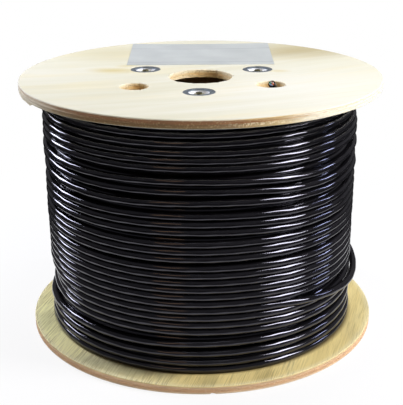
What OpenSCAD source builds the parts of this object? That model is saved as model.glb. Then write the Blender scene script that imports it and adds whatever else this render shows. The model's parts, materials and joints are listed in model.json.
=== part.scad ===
// Wooden cable drum standing on end. Two plywood flanges are drawn against a
// paperboard core by three tie bolts in cup washers, and the drum is wound full
// of round data cable whose inner end comes out through a hole in the top flange.
// All sizes are in millimetres. The base of the drum is at z = 0, on the arbor axis.

/* [Flanges] */
// Diameter of a flange
flange_d = 350; // [330:1:420]
// Thickness of a flange
flange_t = 8; // [7.5:0.5:15]
// Radius of the round-over along a flange's rim
rim_r = 1; // [0.2:0.1:3]
// Clear width between the flanges at their rims
traverse = 236; // [120:1:320]
// Height by which the winding has bowed the rim of the top flange out
flange_bow = 3.2; // [0:0.1:5]
// Diameter of the arbor hole
arbor_d = 61; // [40:0.5:75]
// Diameter of the small holes for the cable start and the drive pin
side_hole_d = 27; // [22:0.5:32]
// Bearing of the cable's start hole, from +X
start_hole_angle = 331; // [325:1:335]
// Bearing of the drive hole, from +X
drive_hole_angle = 214; // [205:1:220]

/* [Core] */
// Outside diameter of the core tube
core_d = 150; // [146:1:180]
// Wall of the core tube
core_wall = 5; // [3:0.5:6]

/* [Cable] */
// Outside diameter of the cable
cable_d = 6.8; // [4.5:0.1:8]
// Outside diameter of the winding
winding_d = 310; // [220:1:315]
// Gap between the core tube and the innermost layer
winding_gap = 0.2; // [0.1:0.1:1]
// Height of the layer below, above the centres of the outer turns
under_layer = 0.3; // [0.1:0.1:1]
// Thickness of the cable's jacket
jacket_t = 0.7; // [0.4:0.1:1]

/* [Cable tail] */
// Gap between the tail and the outside of the core tube
tail_gap = 1.1; // [0.5:0.1:2]
// Lean of the tail from upright
tail_lean = 50; // [30:1:50]
// Length of the tail above the middle of the flange
tail_reach = 10; // [9:0.5:16]
// Depth to which the jacket is stripped inside the cut end
strip_depth = 4; // [2:0.5:5]
// Outside diameter of one insulated wire
wire_d = 1.05; // [0.7:0.05:1.1]
// Gap between the two wires of a pair
wire_gap = 0.1; // [0.05:0.05:0.2]
// Radius from the tail's axis to the middle of a pair
pair_r = 1.5; // [1.4:0.05:1.6]
// Length of wire that stands out of the jacket
wire_out = 1; // [0.5:0.5:3]

/* [Fastenings] */
// Diameter of a tie bolt
bolt_d = 6; // [5:0.5:7]
// Bearing of the first tie bolt, from +X
bolt_angle = 28.6; // [25:0.1:32]
// Gap between a tie bolt and the inside of the core tube
bolt_core_gap = 2; // [1:0.5:4]
// Gap around a tie bolt in its holes
bolt_gap = 0.3; // [0.1:0.1:0.5]
// Size across the flats of the bolt heads and nuts
wrench_size = 10; // [9:0.5:11]
// Height of a bolt head
head_h = 4; // [3:0.5:4.5]
// Height of a nut
nut_h = 3.2; // [2.5:0.1:3.6]
// Length of bolt that stands out of its nut
bolt_out = 1.5; // [0.5:0.1:1.6]
// Gap between a nut and its bolt, where the thread is
thread_gap = 0.05; // [0.02:0.01:0.1]
// Diameter of a cup washer's rim
washer_d = 30; // [28:0.5:34]
// Diameter of a cup washer's bowl at the rim
bowl_d = 20.5; // [19:0.5:23]
// Diameter of a cup washer's flat floor
floor_d = 13; // [12:0.5:14]
// Depth of a cup washer's bowl
bowl_depth = 5; // [4.8:0.1:5.2]
// Sheet thickness of a cup washer
washer_t = 1; // [0.8:0.1:1.2]
// Depth of a cup washer's rim below the flange's face
washer_sink = 0.2; // [0.1:0.1:0.4]
// Gap around a cup washer in its seat
washer_gap = 0.2; // [0.1:0.1:0.4]

/* [Label] */
// Width of the label
label_w = 152; // [100:1:200]
// Length of the label
label_l = 101; // [60:1:104]
// Thickness of the label
label_t = 0.3; // [0.1:0.1:0.5]
// Distance of the label's outer corners from the rim
label_margin = 2.4; // [1:0.1:10]

/* [Hidden] */
$fn = 96;

height = traverse + 2 * flange_t;
core_r = core_d / 2;
rim_edge = flange_d / 2 - rim_r;

// The top flange is flat out to just past its holes, and bows up from there to its rim.
hub_top = height - flange_bow;
hub_r = core_r + side_hole_d / 2 + 10;
core_h = traverse - flange_bow;
bolt_circle_r = core_r - core_wall - bolt_core_gap - bolt_d / 2;
bolt_step = 120;

// The side holes are centred over the outside of the core tube, so that the
// cable's start can rise close beside the tube.
side_hole_r = core_r;
tail_r = core_r + tail_gap + cable_d / 2;

// The outer turns fill the height below the bowed flange at the layer they lie on.
turn_r = winding_d / 2 - cable_d / 2;
wound_h = core_h + bow_at(turn_r - cable_d / 2);
turns = floor(wound_h / cable_d);
pitch = wound_h / turns;

// Distance of a cup's floor from the outer face of its flange
cup_floor = washer_sink + bowl_depth;
bolt_end = hub_top - cup_floor + nut_h + bolt_out;

pair_step = 90;
first_pair_angle = 10;

plywood = "#EBDDBB";
paperboard = "#A98458";
black_jacket = "#151518";
zinc = "#B4BABD";
yellow_zinc = "#8C8250";
film = "#D5DBDE";

// Steps along the curve of a cup washer's bowl
bowl_steps = 6;

// Height of the bowed flange above its flat middle, at a radius.
function bow_at(r) = flange_bow * max(0, r - hub_r) / (rim_edge - hub_r);

// Half section of a bowl whose walls are grown outwards by a thickness.
function bowl_section(grow) = concat(
    [[0, 0], [0, -bowl_depth - grow]],
    [for (i = [0 : bowl_steps])
        let (a = 90 * i / bowl_steps)
        [floor_d / 2 + (bowl_d / 2 + grow - floor_d / 2) * sin(a), -(bowl_depth + grow) * cos(a)]]
);

module at_bolt(i) {
    rotate(bolt_angle + bolt_step * (i - 1)) translate([bolt_circle_r, 0, 0]) children();
}

// Turns a piece drawn below z = 0 over, so that its outer face rests on the floor.
module turned_over() {
    mirror([0, 0, 1]) children();
}

// A disc with rounded rim edges and its outer face at z = 0, whose rim bows up.
module disc(bow) {
    rotate_extrude($fn = 180) {
        polygon([[0, -flange_t], [hub_r, -flange_t], [rim_edge, bow - flange_t], [rim_edge, bow],
                 [hub_r, 0], [0, 0]]);
        translate([rim_edge - rim_r, bow - flange_t + rim_r])
            square([2 * rim_r, flange_t - 2 * rim_r]);
        for (y = [rim_r - flange_t, -rim_r]) translate([rim_edge, bow + y]) circle(rim_r);
    }
}

// The seat of a cup washer and the hole of its bolt, cut from a face at z = 0.
module washer_seat() {
    translate([0, 0, -washer_sink - washer_t])
        cylinder(r = washer_d / 2 + washer_gap, h = washer_sink + washer_t + 1);
    translate([0, 0, -washer_sink]) rotate_extrude() polygon(bowl_section(washer_t + washer_gap));
    translate([0, 0, -flange_t - 1]) cylinder(d = bolt_d + 2 * bolt_gap, h = flange_t + 2);
}

// Both flanges are cut alike, with the outer face at z = 0.
module drilled_flange(bow) {
    color(plywood) difference() {
        disc(bow);
        translate([0, 0, -flange_t - 1]) cylinder(d = arbor_d, h = flange_t + 2);
        for (a = [start_hole_angle, drive_hole_angle])
            rotate(a) translate([side_hole_r, 0, -flange_t - 1]) cylinder(d = side_hole_d, h = flange_t + 2);
        for (i = [1 : 3]) at_bolt(i) washer_seat();
    }
}

// The bottom flange is pressed flat by the weight on it.
module bottom_flange() { turned_over() drilled_flange(0); }

module top_flange() { translate([0, 0, hub_top]) drilled_flange(flange_bow); }

module core_tube() {
    color(paperboard) translate([0, 0, flange_t]) difference() {
        cylinder(r = core_r, h = core_h);
        translate([0, 0, -1]) cylinder(r = core_r - core_wall, h = core_h + 2);
    }
}

// The layers are one turned solid, and the turns of the outer layer stand out of it.
module cable_winding() {
    inner_r = core_r + winding_gap;
    outer_r = turn_r + under_layer;
    color(black_jacket) translate([0, 0, flange_t]) rotate_extrude($fn = 180) {
        translate([inner_r, 0]) square([outer_r - inner_r, core_h]);
        for (i = [0 : turns - 1]) translate([turn_r, (i + 0.5) * pitch]) circle(d = cable_d, $fn = 24);
    }
}

// The tail's own frame: z runs out along the cable, from the middle of the top flange.
module along_tail() {
    rotate(start_hole_angle) translate([tail_r, 0, hub_top - flange_t / 2])
        rotate([tail_lean, 0, 0]) children();
}

// The tail rises from the top of the winding and leans out of its hole.
module cable_tail() {
    below = flange_t / cos(tail_lean) + cable_d;
    color(black_jacket) difference() {
        along_tail() translate([0, 0, -below]) cylinder(d = cable_d, h = below + tail_reach, $fn = 48);
        along_tail() translate([0, 0, tail_reach - strip_depth])
            cylinder(d = cable_d - 2 * jacket_t, h = strip_depth + 1, $fn = 48);
        translate([0, 0, hub_top - flange_t - 2 * below]) cylinder(r = winding_d / 2, h = 2 * below);
    }
}

// Two wires side by side, standing in the stripped end of the tail.
module wire_pair(slot, colours) {
    for (side = [0, 1])
        color(colours[side]) along_tail() rotate(first_pair_angle + pair_step * slot)
            translate([pair_r, (side - 0.5) * (wire_d + wire_gap), tail_reach - strip_depth])
                cylinder(d = wire_d, h = strip_depth + wire_out, $fn = 16);
}

module orange_pair() { wire_pair(0, ["#D9641E", "#EFE4D8"]); }

module brown_pair() { wire_pair(1, ["#5A3A24", "#E6DED6"]); }

module green_pair() { wire_pair(2, ["#3E7F45", "#E2EAE0"]); }

module blue_pair() { wire_pair(3, ["#2F55B5", "#E0E4EE"]); }

module tie_bolt(i) {
    color(yellow_zinc) at_bolt(i) {
        translate([0, 0, cup_floor - head_h]) cylinder(d = wrench_size / cos(30), h = head_h, $fn = 6);
        translate([0, 0, cup_floor]) cylinder(d = bolt_d, h = bolt_end - cup_floor, $fn = 32);
    }
}

module nut(i) {
    color(yellow_zinc) at_bolt(i) translate([0, 0, hub_top - cup_floor]) difference() {
        cylinder(d = wrench_size / cos(30), h = nut_h, $fn = 6);
        translate([0, 0, -1]) cylinder(d = bolt_d + 2 * thread_gap, h = nut_h + 2, $fn = 32);
    }
}

// A pressed cup with a flat rim, with the top of its rim at z = 0.
module cup_washer() {
    color(zinc) difference() {
        rotate_extrude() difference() {
            union() {
                translate([0, -washer_t]) square([washer_d / 2, washer_t]);
                polygon(bowl_section(washer_t));
            }
            polygon(bowl_section(0));
        }
        translate([0, 0, -bowl_depth - washer_t - 1])
            cylinder(d = bolt_d + 2 * bolt_gap, h = washer_t + 2, $fn = 32);
    }
}

module bottom_washer(i) { at_bolt(i) turned_over() translate([0, 0, -washer_sink]) cup_washer(); }

module top_washer(i) { at_bolt(i) translate([0, 0, hub_top - washer_sink]) cup_washer(); }

// A thin sheet that lies on the bowed flange.
module label() {
    back = sqrt(pow(flange_d / 2 - label_margin, 2) - pow(label_w / 2, 2));
    color(film) translate([0, 0, hub_top]) intersection() {
        rotate_extrude($fn = 180)
            polygon([[0, 0], [hub_r, 0], [rim_edge, flange_bow], [rim_edge, flange_bow + label_t],
                     [hub_r, label_t], [0, label_t]]);
        translate([-label_w / 2, back - label_l, -1]) cube([label_w, label_l, flange_bow + label_t + 2]);
    }
}

bottom_flange();
top_flange();
core_tube();
cable_winding();
cable_tail();
orange_pair();
brown_pair();
green_pair();
blue_pair();
for (i = [1 : 3]) {
    tie_bolt(i);
    nut(i);
    bottom_washer(i);
    top_washer(i);
}
label();
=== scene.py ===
import json
import math
from collections import namedtuple

import bmesh
import bpy
import numpy as np
from mathutils import Matrix, Vector


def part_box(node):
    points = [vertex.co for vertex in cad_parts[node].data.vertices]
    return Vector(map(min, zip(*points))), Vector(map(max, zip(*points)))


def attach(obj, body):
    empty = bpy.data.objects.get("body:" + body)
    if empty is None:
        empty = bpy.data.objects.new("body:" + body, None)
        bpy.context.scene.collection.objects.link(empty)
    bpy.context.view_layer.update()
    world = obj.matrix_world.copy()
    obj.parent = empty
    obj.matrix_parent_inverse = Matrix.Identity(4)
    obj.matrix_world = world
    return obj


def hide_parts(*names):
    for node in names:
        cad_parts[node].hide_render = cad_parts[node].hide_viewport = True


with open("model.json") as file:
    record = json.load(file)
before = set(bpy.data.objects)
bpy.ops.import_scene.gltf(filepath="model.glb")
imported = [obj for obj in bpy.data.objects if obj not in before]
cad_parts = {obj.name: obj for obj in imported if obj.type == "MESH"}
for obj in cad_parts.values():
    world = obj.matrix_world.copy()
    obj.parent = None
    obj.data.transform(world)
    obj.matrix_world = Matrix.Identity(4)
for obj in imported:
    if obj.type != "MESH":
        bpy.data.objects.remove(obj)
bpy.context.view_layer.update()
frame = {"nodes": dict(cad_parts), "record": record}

MM = 0.001
FULL_TURN = 2 * math.pi


# Sizes that the frame gives, in millimetres

def box_mm(node):
    """Lowest and highest corner of a CAD node, in millimetres."""
    low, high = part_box(node)
    return np.array(low) / MM, np.array(high) / MM


def middle_mm(node):
    """Middle of a CAD node's box, in millimetres."""
    low, high = box_mm(node)
    return (low + high) / 2


BOTTOM_FLANGE, TOP_FLANGE = box_mm("bottom_flange"), box_mm("top_flange")
FLANGE_RADIUS = TOP_FLANGE[1][0]
FLANGE_T = BOTTOM_FLANGE[1][2] - BOTTOM_FLANGE[0][2]
BOW = TOP_FLANGE[1][2] - TOP_FLANGE[0][2] - FLANGE_T    # rise of the top flange's rim
WINDING_LOW, WINDING_HIGH = box_mm("cable_winding")
CORE_RADIUS = box_mm("core_tube")[1][0]
MOUNTS = {mount["name"]: mount for mount in frame["record"]["mounts"]}
SIDE_HOLE_RADIUS = MOUNTS["drive_hole"]["dims"]["r_mm"]
HUB_MARGIN = 10.0
HUB_RADIUS = CORE_RADIUS + SIDE_HOLE_RADIUS + HUB_MARGIN    # where the bow starts


# Sizes of the looks, in millimetres and degrees

# The cable and its two outer layers
CABLE = 6.8
LAY = 100.0                 # length in which the pairs inside turn once round each other
LOBE = 0.15                 # how far each of the four pairs swells the jacket
PAIRS = 4
UNDER_TURNS = 34
UNDER_RADIUS = 144.2        # centre line of the under layer
OFF_CENTRE = 1.2            # the winding bulges to the left by this much
NEST_LOW, NEST_HIGH = 5.85, 6.8     # rise from layer to layer, in a groove and on a crest
CROSSOVER = 60.0            # stretch at the back where each turn steps to the next
BACK = math.radians(90)
FRONT = math.radians(270)
TUCK = 24.0                 # stretch in which a cable end dives under the layer
TUCK_DEPTH = 7.5
WANDER = 0.18               # how far a turn strays from its layer

# Outer turns, counted from the top: open gaps at the front after some of them
OUTER_TURNS = 29
GAPS = {1: 0.9, 2: 1.8, 5: 5.5, 6: 3.0, 7: 4.0, 8: 6.8, 9: 0.5, 10: 0.5, 11: 5.3,
        14: 2.7, 24: 6.4, 25: 3.4, 26: 2.5}
TIGHT_GAP = 0.12
GAP_CHANGE = 0.45           # how much a gap opens and closes on its way round

# The cable's inner end, which leans out of a side hole, and its four pairs in order round it
START_HOLE_ANGLE = 331
TAIL_LEAN = 50
FIRST_PAIR = 10
WIRES = (("orange", "#FF7A34"), ("brown", "#8A5A3C"), ("green", "#3FB78E"), ("blue", "#6C90E4"))

# Torn strip of veneer along the lower edge of the top flange
TORN_FROM, TORN_TO = 188, 211
TORN_DROP = 2.4

# Places of the label's two printed rules, as shares of its length
LABEL_RULES = (0.13, 0.76)

# Chip in the lower edge of the bottom flange
NICK = namedtuple("Nick", "angle reach inset depth")(angle=272.9, reach=3.0, inset=3.0, depth=1.3)

# Places where a turn climbs over its lower neighbours, or bulges freely
Ride = namedtuple("Ride", "turn angle spread slide lift")
RIDES = [
    Ride(turn=21, angle=352, spread=56, slide=-10.0, lift=None),
    Ride(turn=25, angle=184, spread=40, slide=-4.5, lift=1.2),
    Ride(turn=13, angle=148, spread=36, slide=-9.0, lift=None),
]
# Places where both layers lie deeper
Dent = namedtuple("Dent", "angle spread height reach depth")
DENTS = [
    Dent(angle=355, spread=95, height=238, reach=32, depth=4.6),
    Dent(angle=182, spread=75, height=240, reach=26, depth=2.8),
    Dent(angle=190, spread=38, height=58, reach=17, depth=4.4),
]
# Paler, yellow, olive and grey places on the two face veneers, among them painted light and painted
# shade
Stain = namedtuple("Stain", "x y wide deep share colour")
TOP_STAINS_AND_PAINTED_LIGHT = [
    # Painted light: this pale stain lightens the right of the top face, where the key lamp falls
    Stain(98, -70, 160, 170, 0.7, "#E6E6DC"),
    # Painted shade: this stain and the next, both darker, darken the back of the top face
    Stain(112, 116, 120, 62, 0.95, "#B0A274"),
    Stain(-100, 108, 84, 64, 0.6, "#CBC298"),
    Stain(-86, 28, 34, 19, 0.9, "#CDBE7E"),
    Stain(-74, 50, 18, 11, 0.7, "#D2C488"),
    Stain(78, 22, 16, 10, 0.7, "#D2C48C"),
]
BOTTOM_STAINS_AND_PAINTED_LIGHT = [
    # Painted shadow: this dark brown stain darkens the face beside the winding
    Stain(-47, -146, 46, 24, 0.95, "#4E3A18"),
    # Partly painted light: the pale stains at the left (at -112, -142, -168 and -130 mm) give the
    # veneer's paler olive-yellow tone there, and also lighten the left where the winding shades it
    Stain(-112, -124, 50, 40, 0.85, "#FAF4BC"),
    Stain(-142, -84, 46, 42, 0.85, "#FFFCC4"),
    Stain(-168, -44, 110, 150, 1.0, "#FFFBB6"),
    Stain(-156, -44, 20, 34, 0.4, "#A8A67C"),
    Stain(-130, -98, 46, 46, 0.8, "#FFF8B4"),
    Stain(-82, -142, 70, 50, 0.8, "#B8B68E"),
    Stain(-44, -169, 44, 24, 0.7, "#FAEEB0"),
    Stain(7, -170, 14, 30, 0.5, "#A39A68"),
    Stain(55, -160, 14, 34, 0.45, "#B09C60"),
    Stain(176, -16, 14, 40, 0.6, "#B6AC7E"),
    Stain(150, -92, 16, 40, 0.5, "#C2B482"),
]
# Rings on the bottom face: a share of a colour at one radius that fades out at the other
FaceRing = namedtuple("FaceRing", "full faded share colour")
BOTTOM_RINGS = [
    # Painted shadow: the dark ring darkens the face beside the winding; the pale ring is the worn edge
    # of the rim
    FaceRing(full=152.0, faded=156.5, share=0.8, colour="#523E1C"),
    FaceRing(full=174.0, faded=169.0, share=0.5, colour="#F6ECBE"),
]


# Helpers for shapes

def smooth(share):
    """Smooth step from 0 to 1."""
    share = np.clip(share, 0, 1)
    return share * share * (3 - 2 * share)


def bump(share):
    """Smooth hump: 1 at 0, and 0 from -1 outwards and from 1 outwards."""
    return np.cos(np.clip(share, -1, 1) * math.pi / 2) ** 2


def turned(angle, degrees):
    """Angles measured from a direction in degrees, within half a turn each way."""
    return (angle - math.radians(degrees) + math.pi) % FULL_TURN - math.pi


def ripple(angle, seed, waves=(1, 2, 3, 4)):
    """Smooth seeded noise that closes after a full turn, about -1 to 1."""
    rng = np.random.default_rng(seed)
    total = np.zeros_like(angle)
    for wave in waves:
        total = total + rng.uniform(0.3, 1.0) * np.cos(wave * angle + rng.uniform(0, FULL_TURN))
    return total / math.sqrt(len(waves))


def add_object(name, data, materials=()):
    """An object in the scene for a mesh, a lamp or a camera."""
    for material in materials:
        data.materials.append(material)
    made = bpy.data.objects.new(name, data)
    bpy.context.scene.collection.objects.link(made)
    return made


def make_piece(name, vertices_mm, faces, material, replaced=()):
    """A piece of the drum as a mesh in the frame, riding on the drum's one body."""
    mesh = bpy.data.meshes.new(name)
    mesh.from_pydata((vertices_mm * MM).tolist(), [], faces)
    return keep_piece(add_object(name, mesh, [material]), replaced)


def keep_piece(piece, replaced=()):
    """Rides a finished piece on the body, and hides the CAD parts that it stands for."""
    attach(piece, "root")
    if replaced:
        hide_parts(*replaced)
    return piece


def tidy_normals(mesh, sharp_angle=40):
    """Faces point outwards, and shading is smooth up to the sharp angle."""
    shape = bmesh.new()
    shape.from_mesh(mesh)
    bmesh.ops.recalc_face_normals(shape, faces=shape.faces)
    shape.to_mesh(mesh)
    shape.free()
    mesh.shade_smooth()
    mesh.set_sharp_from_angle(angle=math.radians(sharp_angle))


# Helpers for nodes and materials

BLACK, WHITE = "#000000", "#FFFFFF"     # none and all, in ramps used as masks


def linear(hex_colour):
    """An sRGB hex colour as linear RGBA."""
    values = [int(hex_colour[i:i + 2], 16) / 255 for i in (1, 3, 5)]
    return [v / 12.92 if v <= 0.04045 else ((v + 0.055) / 1.055) ** 2.4 for v in values] + [1.0]


def feed(tree, node, inputs):
    """Sets a node's inputs: as links from sockets or from nodes' first live outputs, or as values."""
    for key, value in inputs.items():
        if isinstance(value, bpy.types.Node):
            value = next(socket for socket in value.outputs if socket.enabled)
        if isinstance(value, bpy.types.NodeSocket):
            tree.links.new(value, node.inputs[key])
        else:
            node.inputs[key].default_value = value


def add_node(tree, kind, inputs=None, stops=None, **settings):
    """Adds a node with its settings, its inputs as values or links, and a ramp's colour stops.
    A kind without Node in its name is a shader node."""
    made = tree.nodes.new(kind if "Node" in kind else "ShaderNode" + kind)
    for name, value in settings.items():
        setattr(made, name, value)
    feed(tree, made, inputs or {})
    if stops:
        ramp = made.color_ramp
        while len(ramp.elements) < len(stops):
            ramp.elements.new(1.0)
        for element, (place, colour) in zip(ramp.elements, stops):
            element.position = place
            element.color = linear(colour)
    return made


def new_material(name, **constants):
    """A material, its tree, its shader with what is the same all over, and Object coordinates."""
    material = bpy.data.materials.new(name)
    material.use_nodes = True
    tree = material.node_tree
    shader = tree.nodes["Principled BSDF"]
    feed(tree, shader, {socket.replace("_", " "): value for socket, value in constants.items()})
    return material, tree, shader, add_node(tree, "TexCoord").outputs["Object"]


# Materials

def grain_noise(tree, where, turn, size, shift=(0, 0), **inputs):
    """Noise drawn out along the grain: size is its length, width and depth in millimetres."""
    placed = add_node(tree, "Mapping", vector_type="TEXTURE",
                      inputs={"Vector": where, "Rotation": (0.0, 0.0, math.radians(turn)),
                              "Location": (shift[0] * MM, shift[1] * MM, 0.0),
                              "Scale": [length * MM for length in size]})
    return add_node(tree, "TexNoise", {"Vector": placed, "Scale": 1.0, **inputs})


def extruded_jacket():
    """Black filled vinyl, extruded over twisted pairs: deep black and wet-looking, with a faint
    violet cast in its shine, and fine slanting ribs that break its highlights into short strokes."""
    rib = 1.7               # a real rib is about 1.1 mm: drawn coarser, so that it shows
    ribs_round = 12
    material, tree, shader, where = new_material("extruded_black_vinyl", IOR=1.64,
                                                 Specular_Tint=linear("#EEEDFF"))
    along = add_node(tree, "Attribute", attribute_name="along").outputs["Fac"]
    around = add_node(tree, "Attribute", attribute_name="around").outputs["Fac"]
    rows = add_node(tree, "Math", {0: along, 1: FULL_TURN / (rib * MM)}, operation="MULTIPLY")
    slant = add_node(tree, "Math", {0: around, 1: FULL_TURN * ribs_round, 2: rows},
                     operation="MULTIPLY_ADD")
    ribs = add_node(tree, "Math", {0: slant}, operation="SINE")
    haze = grain_noise(tree, where, 0, (30, 30, 6), Detail=2.0)
    patches = add_node(tree, "MapRange",
                       {"Value": haze, "From Min": 0.4, "From Max": 0.65, "To Min": 0.1})
    relief = add_node(tree, "Math", {0: ribs, 1: patches}, operation="MULTIPLY")
    bumps = add_node(tree, "Bump", {"Height": relief, "Strength": 0.3, "Distance": 0.03 * MM})
    gloss = add_node(tree, "MapRange",
                     {"Value": haze, "From Min": 0.3, "From Max": 0.75, "To Min": 0.03, "To Max": 0.1})
    dust = add_node(tree, "TexNoise", {"Vector": where, "Scale": 1 / (40 * MM), "Detail": 3.0})
    tone = add_node(tree, "ValToRGB", {"Fac": dust}, stops=[(0.35, "#0E0D0F"), (0.75, "#151416")])
    feed(tree, shader, {"Base Color": tone, "Roughness": gloss, "Normal": bumps})
    return material


def tint_spot_over(tree, where, noise, colour, tint_spot):
    """A soft spot of colour laid over a colour, its edge made ragged by a noise: stains, and also
    painted light and shade.
    """
    ragged = 0.6
    near = add_node(tree, "Mapping", vector_type="TEXTURE",
                    inputs={"Vector": where, "Location": (tint_spot.x * MM, tint_spot.y * MM, 0),
                            "Scale": (tint_spot.wide * MM, tint_spot.deep * MM, 1.0)})
    edge = add_node(tree, "VectorMath", {0: noise, 1: (ragged, ragged, 0), 2: near},
                    operation="MULTIPLY_ADD")
    far = add_node(tree, "VectorMath", {0: edge, 1: (ragged / 2, ragged / 2, 0)}, operation="DISTANCE")
    spot = add_node(tree, "MapRange",
                    {"Value": far, "From Min": 1.0, "From Max": 0.05, "To Max": tint_spot.share},
                    interpolation_type="SMOOTHSTEP")
    return add_node(tree, "Mix", {0: spot, 6: colour, 7: linear(tint_spot.colour)}, data_type="RGBA")


def ring_over(tree, where, colour, ring):
    """One ring around the middle, such as the painted shadow beside the winding, and a worn edge."""
    flat = add_node(tree, "VectorMath", {0: where, 1: (1, 1, 0)}, operation="MULTIPLY")
    radius = add_node(tree, "VectorMath", {0: flat}, operation="LENGTH")
    share = add_node(tree, "MapRange",
                     {"Value": radius, "From Min": ring.full * MM, "From Max": ring.faded * MM,
                      "To Min": ring.share, "To Max": 0.0})
    return add_node(tree, "Mix", {0: share, 6: colour, 7: linear(ring.colour)}, data_type="RGBA")


def grain_depth(tree, where, patches, contrast):
    """How strongly the grain lines show: by patches, and from the left of the disc to its right."""
    across = add_node(tree, "SeparateXYZ", {0: where}).outputs["X"]
    side = add_node(tree, "MapRange",
                    {"Value": across, "From Min": 30 * MM, "From Max": 110 * MM,
                     "To Min": contrast[0], "To Max": contrast[1]})
    return add_node(tree, "MapRange",
                    {"Value": patches, "From Min": 0.15, "From Max": 0.6, "To Max": side})


def sanded_veneer(name, tones, turn, line, contrast, mark, patch, patch_share, stains_and_painted_light, rings=()):
    """Sanded face veneer: pale and dull, with broad streaks, patches, stains, painted light and shade,
    and fine grain lines.
    """
    material, tree, shader, where = new_material(name, Roughness=0.62, IOR=1.45)
    lines = grain_noise(tree, where, turn, (*line, 6), Detail=3.0, Roughness=0.6)
    bands = grain_noise(tree, where, turn, (160, 8 + 5 * line[1], 30), Detail=2.0, Distortion=0.4)
    patches = grain_noise(tree, where, turn, (110, 26, 60), (31, 17), Detail=3.0)
    base = add_node(tree, "ValToRGB", {"Fac": bands}, stops=list(zip((0.3, 0.5, 0.7), tones)))
    spread = add_node(tree, "MapRange",
                      {"Value": patches, "From Min": 0.5, "From Max": 0.68, "To Max": patch_share})
    colour = add_node(tree, "Mix", {0: spread, 6: base, 7: linear(patch)}, data_type="RGBA")
    for tint_spot in stains_and_painted_light:
        colour = tint_spot_over(tree, where, bands.outputs["Color"], colour, tint_spot)
    for ring in rings:
        colour = ring_over(tree, where, colour, ring)
    marks = add_node(tree, "MapRange",
                     {"Value": lines, "From Min": 0.48, "From Max": 0.64,
                      "To Max": grain_depth(tree, where, patches, contrast)})
    colour = add_node(tree, "Mix", {0: marks, 6: colour, 7: linear(mark)}, data_type="RGBA")
    bumps = add_node(tree, "Bump", {"Height": lines, "Strength": 0.35, "Distance": 0.12 * MM})
    feed(tree, shader, {"Base Color": colour, "Normal": bumps})
    return material


def saw_direction(tree, grain):
    """Which way the saw went through the grain: 0 and 1 along it, 0.5 across it."""
    facing = add_node(tree, "NewGeometry").outputs["Normal"]
    way = (math.cos(math.radians(grain)), math.sin(math.radians(grain)), 0)
    cut = add_node(tree, "VectorMath", {0: facing, 1: way}, operation="DOT_PRODUCT")
    return add_node(tree, "Math", {0: cut, 1: 0.5, 2: 0.5}, operation="MULTIPLY_ADD")


def ply_colours(tree, share, cut, plies):
    """Colour of each veneer: its end grain where the saw cut across it, its long grain along it,
    with painted light in a wider pale arc on one side.
    """
    cross_shift = -0.05     # the middle plies change from one to the other a little later
    ends = add_node(tree, "ValToRGB", {"Fac": share}, stops=[(place, end) for place, end, _ in plies])
    sides = add_node(tree, "ValToRGB", {"Fac": share},
                     stops=[(place, side) for place, _, side in plies])
    cross_ply = add_node(tree, "ValToRGB", {"Fac": share},
                         stops=[(0.46, BLACK), (0.52, WHITE), (0.62, WHITE), (0.74, BLACK)])
    later = add_node(tree, "Math", {0: cross_ply, 1: cross_shift, 2: cut}, operation="MULTIPLY_ADD")
    # Painted light: the pale long grain reaches much further round on the side the grain points to (the
    # right of the top flange, which the key lamp lights) than on the other side
    along = add_node(tree, "ValToRGB", {"Fac": later},
                     stops=[(0.0, WHITE), (0.1, "#F0F0F0"), (0.16, "#707070"), (0.24, "#282828"),
                            (0.5, BLACK), (0.57, "#404040"), (0.64, "#B8B8B8"), (0.74, WHITE)])
    return add_node(tree, "Mix", {0: along, 6: ends, 7: sides}, data_type="RGBA")


def frayed_fibres(tree, where, colour, cut, share, golden, tips):
    """Golden fibres where the saw met the grain at a slant, with a row of pale frayed tips."""
    slant = add_node(tree, "ValToRGB", {"Fac": cut},
                     stops=[(0.55, BLACK), (0.61, WHITE), (0.68, WHITE), (0.75, BLACK)])
    colour = add_node(tree, "Mix", {0: slant, 6: colour, 7: linear(golden)},
                      data_type="RGBA", blend_type="MULTIPLY")
    row = add_node(tree, "ValToRGB", {"Fac": share},
                   stops=[(0.16, BLACK), (0.26, WHITE), (0.48, WHITE), (0.58, BLACK)])
    tufts = add_node(tree, "MapRange",
                     {"Value": grain_noise(tree, where, 0, (0.9, 0.9, 2.2), Detail=1.0),
                      "From Min": 0.46, "From Max": 0.58, "To Max": 0.65})
    here = add_node(tree, "Math", {0: row, 1: slant}, operation="MULTIPLY")
    here = add_node(tree, "Math", {0: here, 1: tufts}, operation="MULTIPLY")
    return add_node(tree, "Mix", {0: here, 6: colour, 7: linear(tips)}, data_type="RGBA")


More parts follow.
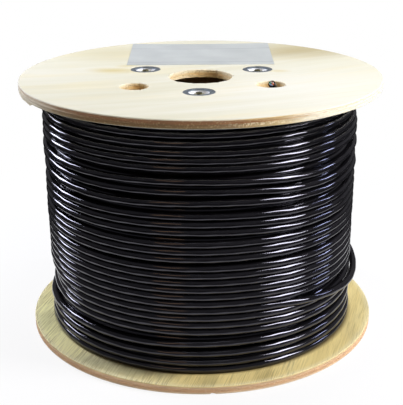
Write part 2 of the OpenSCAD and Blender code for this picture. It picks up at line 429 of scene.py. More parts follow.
def sawn_ply_edge(name, low, plies, grain, fleck, frayed=None):
    """Sawn plywood edge: each veneer is a band, dark and rough where the saw cut across its
    grain and pale where it cut along it; on one side the pale shows over a wider arc, as painted
    light. Plies are (place, end grain, long grain) from below."""
    waver = 0.5             # how far the bands wander up and down
    material, tree, shader, where = new_material(name, Roughness=0.75, IOR=1.45)
    streaks = grain_noise(tree, where, 0, (14, 14, 0.7), Detail=3.0)
    height = add_node(tree, "SeparateXYZ", {0: where}).outputs["Z"]
    wavy = add_node(tree, "Math", {0: streaks, 1: waver * MM, 2: height}, operation="MULTIPLY_ADD")
    share = add_node(tree, "MapRange",
                     {"Value": wavy, "From Min": (low + waver / 2) * MM,
                      "From Max": (low + FLANGE_T + waver / 2) * MM})
    cut = saw_direction(tree, grain)
    colour = ply_colours(tree, share, cut, plies)
    if frayed:
        colour = frayed_fibres(tree, where, colour, cut, share, *frayed)
    pores = add_node(tree, "TexNoise", {"Vector": where, "Scale": 1 / (1.5 * MM), "Detail": 2.0})
    flecks = add_node(tree, "MapRange",
                      {"Value": pores, "From Min": 0.55, "From Max": 0.72, "To Max": 0.55})
    flecked = add_node(tree, "Mix", {0: flecks, 6: colour, 7: linear(fleck)}, data_type="RGBA")
    shades = add_node(tree, "MapRange",
                      {"Value": streaks, "From Min": 0.3, "From Max": 0.7,
                       "To Min": 0.82, "To Max": 1.12})
    toned = add_node(tree, "VectorMath", {0: flecked, 1: shades}, operation="MULTIPLY")
    bumps = add_node(tree, "Bump", {"Height": pores, "Strength": 0.6, "Distance": 0.25 * MM})
    feed(tree, shader, {"Base Color": toned, "Normal": bumps})
    return material


def galvanised_steel(name, rim, bowl):
    """Pressed zinc-plated steel: a smooth blue-grey rim, and a near-white matt bowl, less metallic,
    whose pale colour is a painted reflection of the light the bowl catches. The height of the rim
    and of the bowl's floor tell the two apart."""
    material, tree, shader, where = new_material(name)
    clouds = add_node(tree, "TexNoise", {"Vector": where, "Scale": 1 / (3 * MM), "Detail": 3.0})
    height = add_node(tree, "SeparateXYZ", {0: where}).outputs["Z"]
    inside = add_node(tree, "MapRange",
                      {"Value": height, "From Min": (rim + 0.1 * (bowl - rim)) * MM,
                       "From Max": (rim + 0.3 * (bowl - rim)) * MM})
    flat = add_node(tree, "ValToRGB", {"Fac": clouds}, stops=[(0.3, "#7F8A96"), (0.7, "#A9B3BD")])
    # Painted reflection: the bowl's near-white colour stands in for the light it reflects
    tone = add_node(tree, "Mix", {0: inside, 6: flat, 7: linear("#FAFBFC")}, data_type="RGBA")
    gloss = add_node(tree, "MapRange", {"Value": inside, "To Min": 0.38, "To Max": 0.8})
    metal_share = add_node(tree, "MapRange", {"Value": inside, "To Min": 1.0, "To Max": 0.4})
    feed(tree, shader, {"Base Color": tone, "Metallic": metal_share, "Roughness": gloss})
    return material


def passivated_steel(name, dark, light, roughness):
    """Passivated zinc on bolts and nuts: a dull film with a cast of olive, cloudy and uneven."""
    material, tree, shader, where = new_material(name, Metallic=1.0)
    film = add_node(tree, "TexNoise", {"Vector": where, "Scale": 1 / (2.5 * MM), "Detail": 3.0})
    tone = add_node(tree, "ValToRGB", {"Fac": film}, stops=[(0.3, dark), (0.7, light)])
    gloss = add_node(tree, "MapRange", {"Value": film, "To Min": roughness, "To Max": roughness + 0.2})
    feed(tree, shader, {"Base Color": tone, "Roughness": gloss})
    return material


def wound_paperboard():
    """Spiral-wound paperboard: brown and dull, with cloudy fibres."""
    material, tree, shader, where = new_material("wound_paperboard", Roughness=0.85, IOR=1.45)
    fibres = add_node(tree, "TexNoise", {"Vector": where, "Scale": 1 / (4 * MM), "Detail": 4.0})
    tone = add_node(tree, "ValToRGB", {"Fac": fibres}, stops=[(0.3, "#8A6B4A"), (0.7, "#A98A63")])
    bumps = add_node(tree, "Bump", {"Height": fibres, "Strength": 0.4, "Distance": 0.1 * MM})
    feed(tree, shader, {"Base Color": tone, "Normal": bumps})
    return material


def label_film(rules):
    """Bare polymer label: cool grey-white with a soft sheen, and two thin printed rules."""
    rule_half = 0.45
    material, tree, shader, where = new_material("bare_label_film", Roughness=0.38, IOR=1.5)
    place = add_node(tree, "SeparateXYZ", {0: where}).outputs["Y"]
    cloud = add_node(tree, "TexNoise", {"Vector": where, "Scale": 1 / (35 * MM), "Detail": 3.0})
    colour = add_node(tree, "ValToRGB", {"Fac": cloud}, stops=[(0.3, "#BABFBC"), (0.7, "#C7CCC8")])
    for rule in rules:
        line = add_node(tree, "Math", {0: place, 1: rule * MM, 2: rule_half * MM}, operation="COMPARE")
        colour = add_node(tree, "Mix", {0: line, 6: colour, 7: linear("#8C9296")}, data_type="RGBA")
    feed(tree, shader, {"Base Color": colour})
    return material


def wire_insulation(name, colour, middle, across):
    """Solid polyethylene insulation with a soft gloss: one wire of the pair is coloured, and the
    other is white with a tint of the same colour."""
    material, tree, shader, where = new_material(name, Roughness=0.35, IOR=1.51)
    offset = add_node(tree, "VectorMath", {0: where, 1: [v * MM for v in middle]}, operation="SUBTRACT")
    side = add_node(tree, "VectorMath", {0: offset, 1: across}, operation="DOT_PRODUCT")
    which = add_node(tree, "Math", {0: side, 1: 0.0}, operation="GREATER_THAN")
    cloud = add_node(tree, "TexNoise", {"Vector": where, "Scale": 1 / (0.8 * MM), "Detail": 2.0})
    tint = add_node(tree, "MapRange",
                    {"Value": cloud, "From Min": 0.45, "From Max": 0.6, "To Min": 0.05, "To Max": 0.4})
    mate = add_node(tree, "Mix", {0: tint, 6: linear("#F6F4F0"), 7: linear(colour)}, data_type="RGBA")
    tone = add_node(tree, "Mix", {0: which, 6: linear(colour), 7: mate}, data_type="RGBA")
    feed(tree, shader, {"Base Color": tone})
    return material


def dress(node, material):
    """Gives a CAD node a finish in its own material slots."""
    piece = frame["nodes"][node]
    if not piece.material_slots:
        piece.data.materials.append(material)
    for place in piece.material_slots:
        place.material = material


# Winding

def capture(tree, curve, name, measure):
    """Keeps a measure along a curve for the swept mesh. Gives back the curve and the measure."""
    value = add_node(tree, "GeometryNodeSplineParameter").outputs[measure]
    kept = add_node(tree, "GeometryNodeCaptureAttribute", {"Geometry": curve})
    kept.capture_items.new("FLOAT", name)
    feed(tree, kept, {name: value})
    return kept.outputs["Geometry"], kept.outputs[name]


def lobe_offset(tree, along, around, given):
    """How far the jacket sinks between the pairs, which turn once round each other in a lay."""
    twist = add_node(tree, "Math", {0: along, 1: given["Lay"]}, operation="DIVIDE")
    phase = add_node(tree, "Math", {0: around, 1: twist}, operation="SUBTRACT")
    wave = add_node(tree, "Math", {0: phase, 1: PAIRS * FULL_TURN}, operation="MULTIPLY")
    lobes = add_node(tree, "Math", {0: wave}, operation="COSINE")
    sunk = add_node(tree, "Math", {0: lobes, 1: 1.0}, operation="SUBTRACT")
    height = add_node(tree, "Math", {0: sunk, 1: given["Lobe Height"]}, operation="MULTIPLY")
    outwards = add_node(tree, "GeometryNodeInputNormal").outputs["Normal"]
    return add_node(tree, "VectorMath", {0: outwards, "Scale": height}, operation="SCALE")


def cable_sweep_tree():
    """Geometry Nodes tree that sweeps a lobed cable along a path."""
    tree = bpy.data.node_groups.new("cable_sweep", "GeometryNodeTree")
    sockets = tree.interface
    sockets.new_socket("Geometry", in_out="OUTPUT", socket_type="NodeSocketGeometry")
    for name, kind in (("Path", "Geometry"), ("Cable Diameter", "Float"), ("Ring Spacing", "Float"),
                       ("Sides", "Int"), ("Lay", "Float"), ("Lobe Height", "Float"),
                       ("Jacket", "Material")):
        sockets.new_socket(name, in_out="INPUT", socket_type="NodeSocket" + kind)
    given = add_node(tree, "NodeGroupInput").outputs
    line = add_node(tree, "GeometryNodeMeshToCurve", {"Mesh": given["Path"]})
    rings = add_node(tree, "GeometryNodeResampleCurve",
                     {"Curve": line, "Length": given["Ring Spacing"]}, mode="LENGTH")
    upright = add_node(tree, "GeometryNodeSetCurveNormal", {"Curve": rings}, mode="Z_UP")
    path, along = capture(tree, upright, "along", "Length")
    radius = add_node(tree, "Math", {0: given["Cable Diameter"], 1: 0.5}, operation="MULTIPLY")
    circle = add_node(tree, "GeometryNodeCurvePrimitiveCircle",
                      {"Resolution": given["Sides"], "Radius": radius})
    profile, around = capture(tree, circle, "around", "Factor")
    shape = add_node(tree, "GeometryNodeCurveToMesh",
                     {"Curve": path, "Profile Curve": profile, "Fill Caps": True})
    shape = add_node(tree, "GeometryNodeSetPosition",
                     {"Geometry": shape, "Offset": lobe_offset(tree, along, around, given)})
    for name, source in (("along", along), ("around", around)):
        shape = add_node(tree, "GeometryNodeStoreNamedAttribute",
                         {"Geometry": shape, "Name": name, "Value": source},
                         data_type="FLOAT", domain="POINT")
    shape = add_node(tree, "GeometryNodeSetShadeSmooth", {"Geometry": shape})
    shape = add_node(tree, "GeometryNodeRealizeInstances", {"Geometry": shape})
    shape = add_node(tree, "GeometryNodeSetMaterial", {"Geometry": shape, "Material": given["Jacket"]})
    add_node(tree, "NodeGroupOutput", {"Geometry": shape})
    return tree


def sweep_cable(tree, name, points_mm, jacket, ring_spacing, sides):
    """A plain mesh of cable along the points, made by the sweep tree."""
    mesh = bpy.data.meshes.new(name)
    edges = [(i, i + 1) for i in range(len(points_mm) - 1)]
    mesh.from_pydata((points_mm * MM).tolist(), edges, [])
    piece = add_object(name, mesh)
    sweep = piece.modifiers.new("sweep", "NODES")
    sweep.node_group = tree
    values = {"Cable Diameter": CABLE * MM, "Ring Spacing": ring_spacing * MM, "Sides": sides,
              "Lay": LAY * MM, "Lobe Height": LOBE / 2 * MM, "Jacket": jacket}
    for item in tree.interface.items_tree:
        if item.in_out == "INPUT" and item.name in values:
            sweep[item.identifier] = values[item.name]
    bpy.context.view_layer.update()
    graph = bpy.context.evaluated_depsgraph_get()
    shaped = piece.evaluated_get(graph)
    piece.data = bpy.data.meshes.new_from_object(shaped, preserve_all_data_layers=True, depsgraph=graph)
    piece.modifiers.clear()
    piece.data.name = name
    bpy.data.meshes.remove(mesh)
    return keep_piece(piece, ["cable_winding"])


def level_at(turn):
    """The level that the cable is on after so many turns, with a smooth step at the back."""
    whole = np.floor(turn)
    part = turn - whole
    half = CROSSOVER / 720
    leaving = smooth((part - 1 + half) / (2 * half))
    arriving = smooth((part + half) / (2 * half)) - 1
    return whole + np.where(part > 0.5, leaving, arriving)


def outer_heights(angle):
    """Heights of the outer turns' centre lines: a row for each angle, a column for each turn."""
    columns = []
    for gap in range(OUTER_TURNS - 1):
        change = ripple(angle, 100 + gap) - ripple(np.array([FRONT]), 100 + gap)
        columns.append((GAPS.get(gap, 0.0) + TIGHT_GAP) * np.exp(GAP_CHANGE * change))
    gaps = np.column_stack(columns)
    top, bottom = WINDING_HIGH[2] - CABLE / 2, WINDING_LOW[2] + CABLE / 2
    spare = top - bottom - CABLE * (OUTER_TURNS - 1)
    gaps *= spare / gaps.sum(axis=1, keepdims=True)
    drops = np.cumsum(CABLE + gaps, axis=1)
    return top - np.column_stack([np.zeros(len(angle)), drops])


def seat_radius(angle, height):
    """Radius of the under layer's centre line, with the winding's bulge and dents."""
    radius = UNDER_RADIUS - OFF_CENTRE * np.cos(angle)
    for dent in DENTS:
        across = bump(turned(angle, dent.angle) / math.radians(dent.spread))
        radius = radius - dent.depth * across * bump((height - dent.height) / dent.reach)
    return radius


def under_pitch():
    """Height from one turn of the under layer to the next."""
    return (WINDING_HIGH[2] - WINDING_LOW[2] - CABLE) / (UNDER_TURNS - 1)


def under_heights(turn):
    """Height of the under layer's centre line after so many turns."""
    level = np.clip(level_at(turn), 0, UNDER_TURNS - 1)
    return WINDING_HIGH[2] - CABLE / 2 - level * under_pitch()


def nest_rise(angle, height):
    """How far an outer turn lies above the under layer: less in its grooves than on its crests."""
    part = ((BACK - angle) / FULL_TURN) % 1.0
    shift = level_at(part) * under_pitch()
    offset = (WINDING_HIGH[2] - CABLE / 2 - height - shift) / under_pitch()
    crest = 0.5 + 0.5 * np.cos(FULL_TURN * offset)
    return NEST_LOW + (NEST_HIGH - NEST_LOW) * crest


def round_points(angle, radius, height):
    """Points at these angles, radii and heights round the drum's axis."""
    return np.column_stack([radius * np.cos(angle), radius * np.sin(angle), height])


def tuck(turn, turns):
    """How far the cable's two ends dive under the layer."""
    stretch = TUCK / 360
    return TUCK_DEPTH * (2 - smooth(turn / stretch) - smooth((turns - turn) / stretch))


def outer_path(step):
    """Points of the outer layer's centre line, from its top end to its bottom end."""
    count = int(OUTER_TURNS * FULL_TURN * (UNDER_RADIUS + NEST_LOW) / step)
    turn = np.linspace(0, OUTER_TURNS, count)
    angle = (BACK + FULL_TURN * turn) % FULL_TURN
    level = np.clip(level_at(turn), 0, OUTER_TURNS - 1)
    lower = np.minimum(np.floor(level).astype(int), OUTER_TURNS - 2)
    table = outer_heights(angle)
    row = np.arange(count)
    share = level - lower
    height = table[row, lower] * (1 - share) + table[row, lower + 1] * share
    lift = np.zeros(count)
    for ride in RIDES:
        away = turned(angle, ride.angle) / math.radians(ride.spread)
        near = (np.floor(turn) == ride.turn) * bump(away)
        slide = ride.slide * near
        climb = np.sqrt(np.maximum(CABLE ** 2 - (np.abs(slide) - CABLE) ** 2, 0))
        lift = lift + (climb if ride.lift is None else ride.lift * near)
        height = height + slide
    stray = WANDER * ripple(angle + turn, 7, waves=(3, 5, 8))
    radius = seat_radius(angle, height) + nest_rise(angle, height) + lift + stray
    return round_points(angle, radius - tuck(turn, OUTER_TURNS), height)


def under_path(step):
    """Points of the under layer's centre line, wound the other way round."""
    turn = np.linspace(0, UNDER_TURNS, int(UNDER_TURNS * FULL_TURN * UNDER_RADIUS / step))
    angle = (BACK - FULL_TURN * turn) % FULL_TURN
    height = under_heights(turn)
    return round_points(angle, seat_radius(angle, height), height)


def inner_layers(jacket):
    """The layers below, as one turned piece whose ends show the turns as rings."""
    segments, steps = 96, 6
    below_turns, off_core = 1.5, 0.2
    outer = UNDER_RADIUS - CABLE - below_turns
    inner = CORE_RADIUS + off_core
    rings = int((outer - inner) / CABLE)
    radii = np.linspace(inner, inner + rings * CABLE, rings * steps + 1)
    place = (radii - inner) % CABLE - CABLE / 2
    dip = CABLE / 2 - np.sqrt(np.maximum((CABLE / 2) ** 2 - place ** 2, 0))
    top = np.column_stack([radii, box_mm("core_tube")[1][2] - dip])
    bottom = np.column_stack([radii, WINDING_LOW[2] + dip])
    outline = np.vstack([top, bottom[::-1]])
    angles = np.arange(segments) * FULL_TURN / segments
    points = [round_points(angles, r, np.full(segments, z)) for r, z in outline]
    starts = [ring * segments for ring in range(len(outline))]
    faces = [(here + i, after + i, after + (i + 1) % segments, here + (i + 1) % segments)
             for here, after in zip(starts, starts[1:] + starts[:1]) for i in range(segments)]
    piece = make_piece("winding_inner_layers", np.vstack(points), faces, jacket,
                       ["cable_winding"])
    tidy_normals(piece.data)


def wind_cable(jacket):
    """Both outer layers as swept cable, over the inner layers."""
    tree = cable_sweep_tree()
    points = outer_path(step=2.0)
    parts = 3
    cuts = [round(len(points) * i / parts) for i in range(parts + 1)]
    for number, (start, end) in enumerate(zip(cuts, cuts[1:]), 1):
        sweep_cable(tree, f"outer_turns_{number}", points[start:end + 1], jacket,
                    ring_spacing=3.2, sides=20)
    sweep_cable(tree, "under_turns", under_path(step=4.0), jacket, ring_spacing=8.0, sides=12)
    inner_layers(jacket)


# Flanges

Ring = namedtuple("Ring", "radius z finish rough chip")
Hole = namedtuple("Hole", "x y rings")
FACE, EDGE, WALL = range(3)         # material slots of a flange
RIM_SIDES, HOLE_SIDES = 540, 84
RIM_ROUND = 1.0
GLUE_LINES = (3.0, 5.2)             # how far below the upper face
SEAM, SEAM_HALF = 0.18, 0.35        # depth and half the height of a glue line in the sawn edge
ROUND_GRIT, SAWN_GRIT = -0.06, -0.1     # how far the saw's marks go into the rim
TURN_OVER = 50                      # angle of the rounded edge where the face ends


def rim_rings(low):
    """Section of the rim from the upper face round to the lower, with its glue lines."""
    high = low + FLANGE_T
    edge = FLANGE_RADIUS - RIM_ROUND
    face_ring = 0.8         # flat ring that keeps the edge's shading off the face
    upper = [Ring(HUB_RADIUS, high, FACE, 0, 0), Ring(edge - face_ring, high, FACE, 0, 0)]
    for degrees in (0, 25, 50, 75, 90):
        a = math.radians(degrees)
        finish, rough = (FACE, 0) if degrees < TURN_OVER else (EDGE, ROUND_GRIT)
        upper.append(Ring(edge + RIM_ROUND * math.sin(a), high - RIM_ROUND * (1 - math.cos(a)),
                          finish, rough, 0))
    sawn = []
    for glue in GLUE_LINES:
        sawn += [Ring(FLANGE_RADIUS - depth, high - glue - offset, EDGE, SAWN_GRIT, 0)
                 for depth, offset in ((0, -SEAM_HALF), (SEAM, 0), (0, SEAM_HALF))]
    under = [ring._replace(z=low + high - ring.z) for ring in upper[::-1]]
    under = [ring._replace(finish=after.finish)
             for ring, after in zip(under, under[1:] + under[-1:])]
    return upper + sawn + under


def through_hole(x, y, radius, low, rough):
    """A drilled hole whose edges are torn out a little on both faces: a ring of the face, the torn
    lip and the wall below it, then the plain wall, and the same again on the other face."""
    high = low + FLANGE_T
    mouth = [Ring(radius + 1.6, high, FACE, 0, 0.5), Ring(radius + 0.4, high, WALL, rough, 1.5),
             Ring(radius + 0.1, high - 0.35, WALL, rough, 0.6)]
    wall = [Ring(radius, high - FLANGE_T * share, WALL, rough, 0.3)
            for share in np.linspace(0.12, 0.88, 7)]
    end = [ring._replace(z=low + high - ring.z, finish=FACE) for ring in mouth[::-1]]
    end[0] = end[0]._replace(finish=WALL)
    return Hole(x, y, mouth + wall + end)


def washer_hole(x, y, low, from_top):
    """A seat for a cup washer, its rim let in and its bowl below, with the bolt hole."""
    rim, rim_depth, bowl, depth, bolt = 15.2, 1.25, 11.6, 6.6, 3.4
    face_ring, floor, back_ring = 1.2, 4.5, 1.5     # widths of the flat rings from face to face
    high = low + FLANGE_T
    section = [(rim + face_ring, high), (rim, high), (rim, high - rim_depth), (bowl, high - rim_depth),
               (bolt + floor, high - depth), (bolt, high - depth), (bolt, low), (bolt + back_ring, low)]
    if not from_top:
        section = [(radius, low + high - z) for radius, z in section[::-1]]
    rings = []
    for (radius, z), after in zip(section, section[1:] + section[-1:]):
        on_face = z in (low, high) and after[1] == z
        rings.append(Ring(radius, z, FACE if on_face else WALL, 0, 0))
    return Hole(x, y, rings)


def add_rings(shape, hole, sides, rng, bow):
    """Walls through a hole's rings, or round the rim. Gives back the first and last ring."""
    angles = np.arange(sides) * FULL_TURN / sides
    chips = np.maximum(rng.normal(0, 1, sides), 0) ** 1.5
    rows = []
    for ring in hole.rings:
        grit = rng.normal(0, 1, sides)
        grit = np.abs(grit + np.roll(grit, 1) + np.roll(grit, -1)) / 3
        radii = ring.radius + ring.rough * grit + abs(ring.rough) * ring.chip * chips
        rise = bow * smooth_bow(ring.radius) if hole.x == hole.y == 0 else 0.0
        rows.append([shape.verts.new(((hole.x + r * math.cos(a)) * MM,
                                      (hole.y + r * math.sin(a)) * MM, (ring.z + rise) * MM))
                     for r, a in zip(radii, angles)])
    for ring, upper, under in zip(hole.rings, rows, rows[1:]):
        for i in range(sides):
            j = (i + 1) % sides
            shape.faces.new((upper[i], under[i], under[j], upper[j])).material_index = ring.finish
    return rows[0], rows[-1]


def smooth_bow(radius):
    """Share of the bow that the top flange has at a radius."""
    return min(max((radius - HUB_RADIUS) / (FLANGE_RADIUS - RIM_ROUND - HUB_RADIUS), 0.0), 1.0)


def plywood_disc(name, low, bow, holes, materials):
    """A flange: rim and hole walls in rings, with its flat middle filled between them."""
    rng = np.random.default_rng(11)
    shape = bmesh.new()
    mouths = [add_rings(shape, Hole(0, 0, rim_rings(low)), RIM_SIDES, rng, bow)]
    mouths += [add_rings(shape, hole, HOLE_SIDES, rng, 0.0) for hole in holes]
    for side in (0, 1):
        edges = [shape.edges.get((ring[i - 1], ring[i]))
                 for ring in (mouth[side] for mouth in mouths) for i in range(len(ring))]
        bmesh.ops.triangle_fill(shape, use_beauty=True, edges=edges)
    mesh = bpy.data.meshes.new(name)
    shape.to_mesh(mesh)
    shape.free()
    piece = add_object(name, mesh, materials)
    tidy_normals(mesh, sharp_angle=35)
    return keep_piece(piece, [name.replace("_wood", "")])


def nick_rim(mesh, low):
    """A small chip out of the lower edge of a rim."""
    for corner in mesh.vertices:
        x, y, z = corner.co / MM
        away = FLANGE_RADIUS * turned(math.atan2(y, x), NICK.angle) / NICK.reach
        if math.hypot(x, y) > FLANGE_RADIUS - NICK.inset and z < low + 2 * RIM_ROUND:
            corner.co.z += NICK.depth * bump(away) * MM


def torn_veneer(low, material):
    """A strip of the lowest veneer that has torn loose along the rim and hangs a little."""
    rng = np.random.default_rng(5)
    count = 90
    angles = np.radians(np.linspace(TORN_FROM, TORN_TO, count))
    share = np.linspace(0, 1, count)
    hang = TORN_DROP * np.minimum(1, 14 * (1 - share)) * (0.35 + 0.65 * share ** 3)
    hang = hang * (0.6 + 0.4 * np.abs(rng.normal(0, 1, count).cumsum() / 9 % 2 - 1)) + 0.05
    ragged = hang * rng.uniform(0.8, 1.1, count)
    sections = ((FLANGE_RADIUS - 0.5, low + 0.9), (FLANGE_RADIUS - 0.02, low + 0.6),
                (FLANGE_RADIUS - 0.3, low - ragged), (FLANGE_RADIUS - 2.4, low - 0.3 * hang),
                (FLANGE_RADIUS - 3.0, low + 0.3))
    rows = [round_points(angles, radius, np.broadcast_to(z, count)) for radius, z in sections]
    starts = [row * count for row in range(len(rows))]
    faces = [(here + i, here + i + 1, after + i + 1, after + i)
             for here, after in zip(starts, starts[1:] + starts[:1]) for i in range(count - 1)]
    faces += [starts, [start + count - 1 for start in starts]]
    piece = make_piece("torn_veneer_strip", np.vstack(rows), faces, material)
    tidy_normals(piece.data, sharp_angle=30)


def flange_holes(low, from_top):
    """The holes that both flanges share: arbor hole, two side holes and three washer seats."""
    drive = np.array(MOUNTS["drive_hole"]["pos_m"]) / MM
    start = math.radians(START_HOLE_ANGLE)
    reach = math.hypot(drive[0], drive[1])
    holes = [through_hole(0, 0, MOUNTS["arbor"]["dims"]["r_mm"], low, rough=0.45)]
    for x, y in (drive[:2], (reach * math.cos(start), reach * math.sin(start))):
        holes.append(through_hole(x, y, SIDE_HOLE_RADIUS, low, rough=0.35))
    for number in (1, 2, 3):
        x, y, _ = middle_mm(f"top_washer_{number}")
        holes.append(washer_hole(x, y, low, from_top))
    return holes


# Studio

Lamp = namedtuple("Lamp", "name azimuth elevation wide tall distance radiance colour")
LAMPS = [
    Lamp("key_softbox", 70, 36, 15, 31, 1.0, 22.0, "#FDFBFF"),
    Lamp("right_strip", 105, 28, 4.5, 14, 1.4, 18.5, "#D0D8FF"),
    Lamp("left_softbox", -119, 33, 16, 24, 0.8, 19.0, "#ECEEFF"),
    Lamp("back_softbox", -172, 48, 60, 26, 2.2, 1.3, "#FFFFFF"),
    Lamp("overhead_softbox", 0, 86, 26, 26, 2.2, 2.2, "#FFFFFF"),
    Lamp("warm_room_glow", -24, 36, 18, 6, 2.2, 3.0, "#FFC78A"),
]


def light_studio():
    """Soft boxes round the drum, aimed at its middle, and a dim grey room."""
    aim = Vector((0, 0, (WINDING_LOW[2] + WINDING_HIGH[2]) / 2 * MM))
    for lamp in LAMPS:
        light = bpy.data.lights.new(lamp.name, "AREA")
        light.shape = "RECTANGLE"
        light.size = 2 * lamp.distance * math.tan(math.radians(lamp.wide) / 2)
        light.size_y = 2 * lamp.distance * math.tan(math.radians(lamp.tall) / 2)
        light.energy = lamp.radiance * math.pi * light.size * light.size_y
        light.color = linear(lamp.colour)[:3]
        stand = add_object(lamp.name, light)
        turn, rise = math.radians(lamp.azimuth), math.radians(lamp.elevation)
        level = math.cos(rise)
        towards = Vector((level * math.sin(turn), -level * math.cos(turn), math.sin(rise)))
        stand.location = aim + lamp.distance * towards
        stand.rotation_euler = towards.to_track_quat("Z", "Y").to_euler()
        stand.visible_camera = False
    world = bpy.data.worlds.new("dim_room")
    world.use_nodes = True
    world.node_tree.nodes["Background"].inputs["Color"].default_value = linear("#676769")
    bpy.context.scene.world = world


def white_floor():
    """Matt white floor that keeps the drum's shadow and turns pure white further out."""
    material, tree, shader, where = new_material("matt_white_floor", Roughness=0.9,
                                                 Base_Color=linear("#F4F4F4"))
    rays = add_node(tree, "LightPath").outputs
    seen = add_node(tree, "Math", {0: rays["Is Camera Ray"], 1: rays["Is Glossy Ray"]},
                    operation="MAXIMUM")
    seen = add_node(tree, "Math", {0: seen, 1: rays["Is Transmission Ray"]}, operation="MAXIMUM")
    far = add_node(tree, "VectorMath", {0: where}, operation="LENGTH")
    fade = add_node(tree, "MapRange",
                    {"Value": far, "From Min": 0.18, "From Max": 0.55, "To Min": 0.84},
                    interpolation_type="SMOOTHSTEP")
    white = add_node(tree, "Math", {0: seen, 1: fade}, operation="MULTIPLY")
    glow = add_node(tree, "Emission")
    mixed = add_node(tree, "MixShader", {0: white, 1: shader, 2: glow})
    feed(tree, tree.nodes["Material Output"], {"Surface": mixed})
    half, drop = 60.0, -0.0002
    corners = [(-half, -half, drop), (half, -half, drop), (half, half, drop), (-half, half, drop)]
    mesh = bpy.data.meshes.new("floor")
    mesh.from_pydata(corners, [], [(0, 1, 2, 3)])
    floor = add_object("floor", mesh, [material])


def dark_flags():
    """Black flags laid flat round the bright patch of floor, which only reflections see."""
    inner, outer, rise, count = 0.31, 60.0, 0.0005, 64
    material = new_material("black_flag_cloth", Base_Color=linear("#0A0A0A"), Roughness=1.0)[0]
    angles = np.arange(count) * FULL_TURN / count
    rings = [round_points(angles, radius, np.full(count, rise)) for radius in (inner, outer)]
    faces = [(i, count + i, count + (i + 1) % count, (i + 1) % count) for i in range(count)]
    mesh = bpy.data.meshes.new("dark_flags")
    mesh.from_pydata(np.vstack(rings).tolist(), [], faces)
    flags = add_object("dark_flags", mesh, [material])
    for ray in ("camera", "diffuse", "shadow", "transmission", "volume_scatter"):
        setattr(flags, f"visible_{ray}", False)


def place_camera():
    """Camera at the photograph's viewing angle; the picture is 403 by 405 pixels."""
    focal_px, picture_height, sensor = 925.5, 405, 36.0
    camera = bpy.data.cameras.new("camera")
    camera.sensor_width = sensor
    camera.lens = focal_px * sensor / picture_height
    tilt, roll, back, up = math.radians(20.22), math.radians(-0.37), 0.8883, 0.4449
    turn = Matrix.Rotation(math.pi / 2 - tilt, 4, "X") @ Matrix.Rotation(roll, 4, "Z")
    stand = add_object("camera", camera)
    stand.matrix_world = Matrix.Translation((0, -back, up)) @ turn
    bpy.context.scene.camera = stand


# Build

jacket = extruded_jacket()
wind_cable(jacket)

hub_low, rim_low, bottom_low = TOP_FLANGE[0][2], TOP_FLANGE[1][2] - FLANGE_T, BOTTOM_FLANGE[0][2]
top_face = sanded_veneer("sanded_poplar_veneer", ("#D6D3BA", "#DAD8C2", "#DFDDCB"), turn=20,
                         line=(70, 2.2), contrast=(0.2, 0.2), mark="#D6CBA2",
                         patch="#E8DCAE", patch_share=0.3, stains_and_painted_light=TOP_STAINS_AND_PAINTED_LIGHT)
bottom_face = sanded_veneer("knife_cut_yellow_veneer", ("#E2CE8A", "#EAD690", "#F2DE98"), turn=74,
                            line=(24, 0.6), contrast=(0.65, 0.4), mark="#74643A",
                            patch="#C8C294", patch_share=0.45, stains_and_painted_light=BOTTOM_STAINS_AND_PAINTED_LIGHT,
                            rings=BOTTOM_RINGS)
top_edge = sawn_ply_edge("sawn_red_core_ply", rim_low,
                         [(0.0, "#8E7A52", "#EEE6CA"), (0.14, "#8E7A52", "#EEE6CA"),
                          (0.17, "#947850", "#E6DFC6"), (0.5, "#90724C", "#E6DEC4"),
                          (0.53, "#A0744E", "#EEE3C8"), (0.77, "#A0744E", "#EEE3CA"),
                          (0.8, "#A0744E", "#E4D2B0"), (0.86, "#A0744E", "#E4D2B0"),
                          (0.89, "#E6DCC0", "#EEE7D4"), (1.0, "#EAE2CA", "#EEE8D8")], 0, "#D9BE8C",
                         frayed=("#F6E4BC", "#FFF2CC"))
bottom_edge = sawn_ply_edge("sawn_pale_core_ply", bottom_low,
                            [(0.0, "#EAD3B0", "#EAD3B0"), (0.2, "#E6CCA6", "#E6CCA6"),
                             (0.24, "#DAB084", "#DCB48A"), (0.55, "#D8AC80", "#DCB286"),
                             (0.6, "#E0BA8E", "#E2BE94"), (0.86, "#E2BD90", "#E4C298"),
                             (0.9, "#E0CC8C", "#E0CC8C"), (1.0, "#E2CE8A", "#E2CE8A")], 70, "#EED8B2")
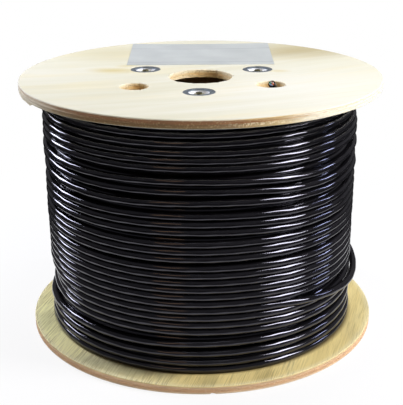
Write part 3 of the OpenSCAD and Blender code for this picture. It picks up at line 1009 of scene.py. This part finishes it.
# Partly painted light: the drilled walls are pale wood, drawn paler still so that the insides of the
# holes look lit
walls = [(0.0, "#F2D294", "#F8E2B2"), (0.3, "#F6D89A", "#FAE6B8"),
         (0.34, "#EEC684", "#F4D8A0"), (0.62, "#F2CC8A", "#F8DEA8"),
         (0.66, "#FCE4AE", "#FDECC2"), (0.88, "#FDE8B8", "#FDF0C8"),
         (0.9, "#FDF0CC", "#FDF2D4"), (1.0, "#FDF2D2", "#FDF4D8")]
top_wall = sawn_ply_edge("drilled_ply_wall", hub_low, walls, 0, "#9A6A3A")
bottom_wall = sawn_ply_edge("lower_drilled_ply_wall", bottom_low, walls, 0, "#9A6A3A")
plywood_disc("top_flange_wood", hub_low, BOW, flange_holes(hub_low, True),
             (top_face, top_edge, top_wall))
torn_veneer(rim_low, top_edge)
lower_wood = plywood_disc("bottom_flange_wood", bottom_low, 0.0, flange_holes(bottom_low, False),
                          (bottom_face, bottom_edge, bottom_wall))
nick_rim(lower_wood.data, bottom_low)

upper_low, upper_high = box_mm("top_washer_1")
lower_low, lower_high = box_mm("bottom_washer_1")
upper_zinc = galvanised_steel("zinc_plated_steel", upper_high[2], upper_low[2])
lower_zinc = galvanised_steel("lower_zinc_plated_steel", lower_low[2], lower_high[2])
olive = passivated_steel("yellow_passivated_steel", "#4A4634", "#7A7454", 0.3)
silver = passivated_steel("clear_passivated_steel", "#B9B49C", "#DEDBC8", 0.35)
for number in (1, 2, 3):
    dress(f"top_washer_{number}", upper_zinc)
    dress(f"bottom_washer_{number}", lower_zinc)
    dress(f"tie_bolt_{number}", olive)
    dress(f"nut_{number}", silver)
dress("core_tube", wound_paperboard())
label_low, label_high = box_mm("label")
label_length = label_high[1] - label_low[1]
dress("label", label_film([label_low[1] + share * label_length for share in LABEL_RULES]))
dress("cable_tail", jacket)
tail = Matrix.Rotation(math.radians(START_HOLE_ANGLE), 3, "Z") @ Matrix.Rotation(
    math.radians(TAIL_LEAN), 3, "X")
for slot, (colour, tone) in enumerate(WIRES):
    across = tail @ Matrix.Rotation(math.radians(FIRST_PAIR + 90 * slot), 3, "Z") @ Vector((0, 1, 0))
    node = f"{colour}_pair"
    dress(node, wire_insulation(f"{colour}_insulation", tone, middle_mm(node), across))

light_studio()
white_floor()
dark_flags()
place_camera()
bpy.context.scene.view_settings.view_transform = "Standard"

bpy.context.view_layer.update()
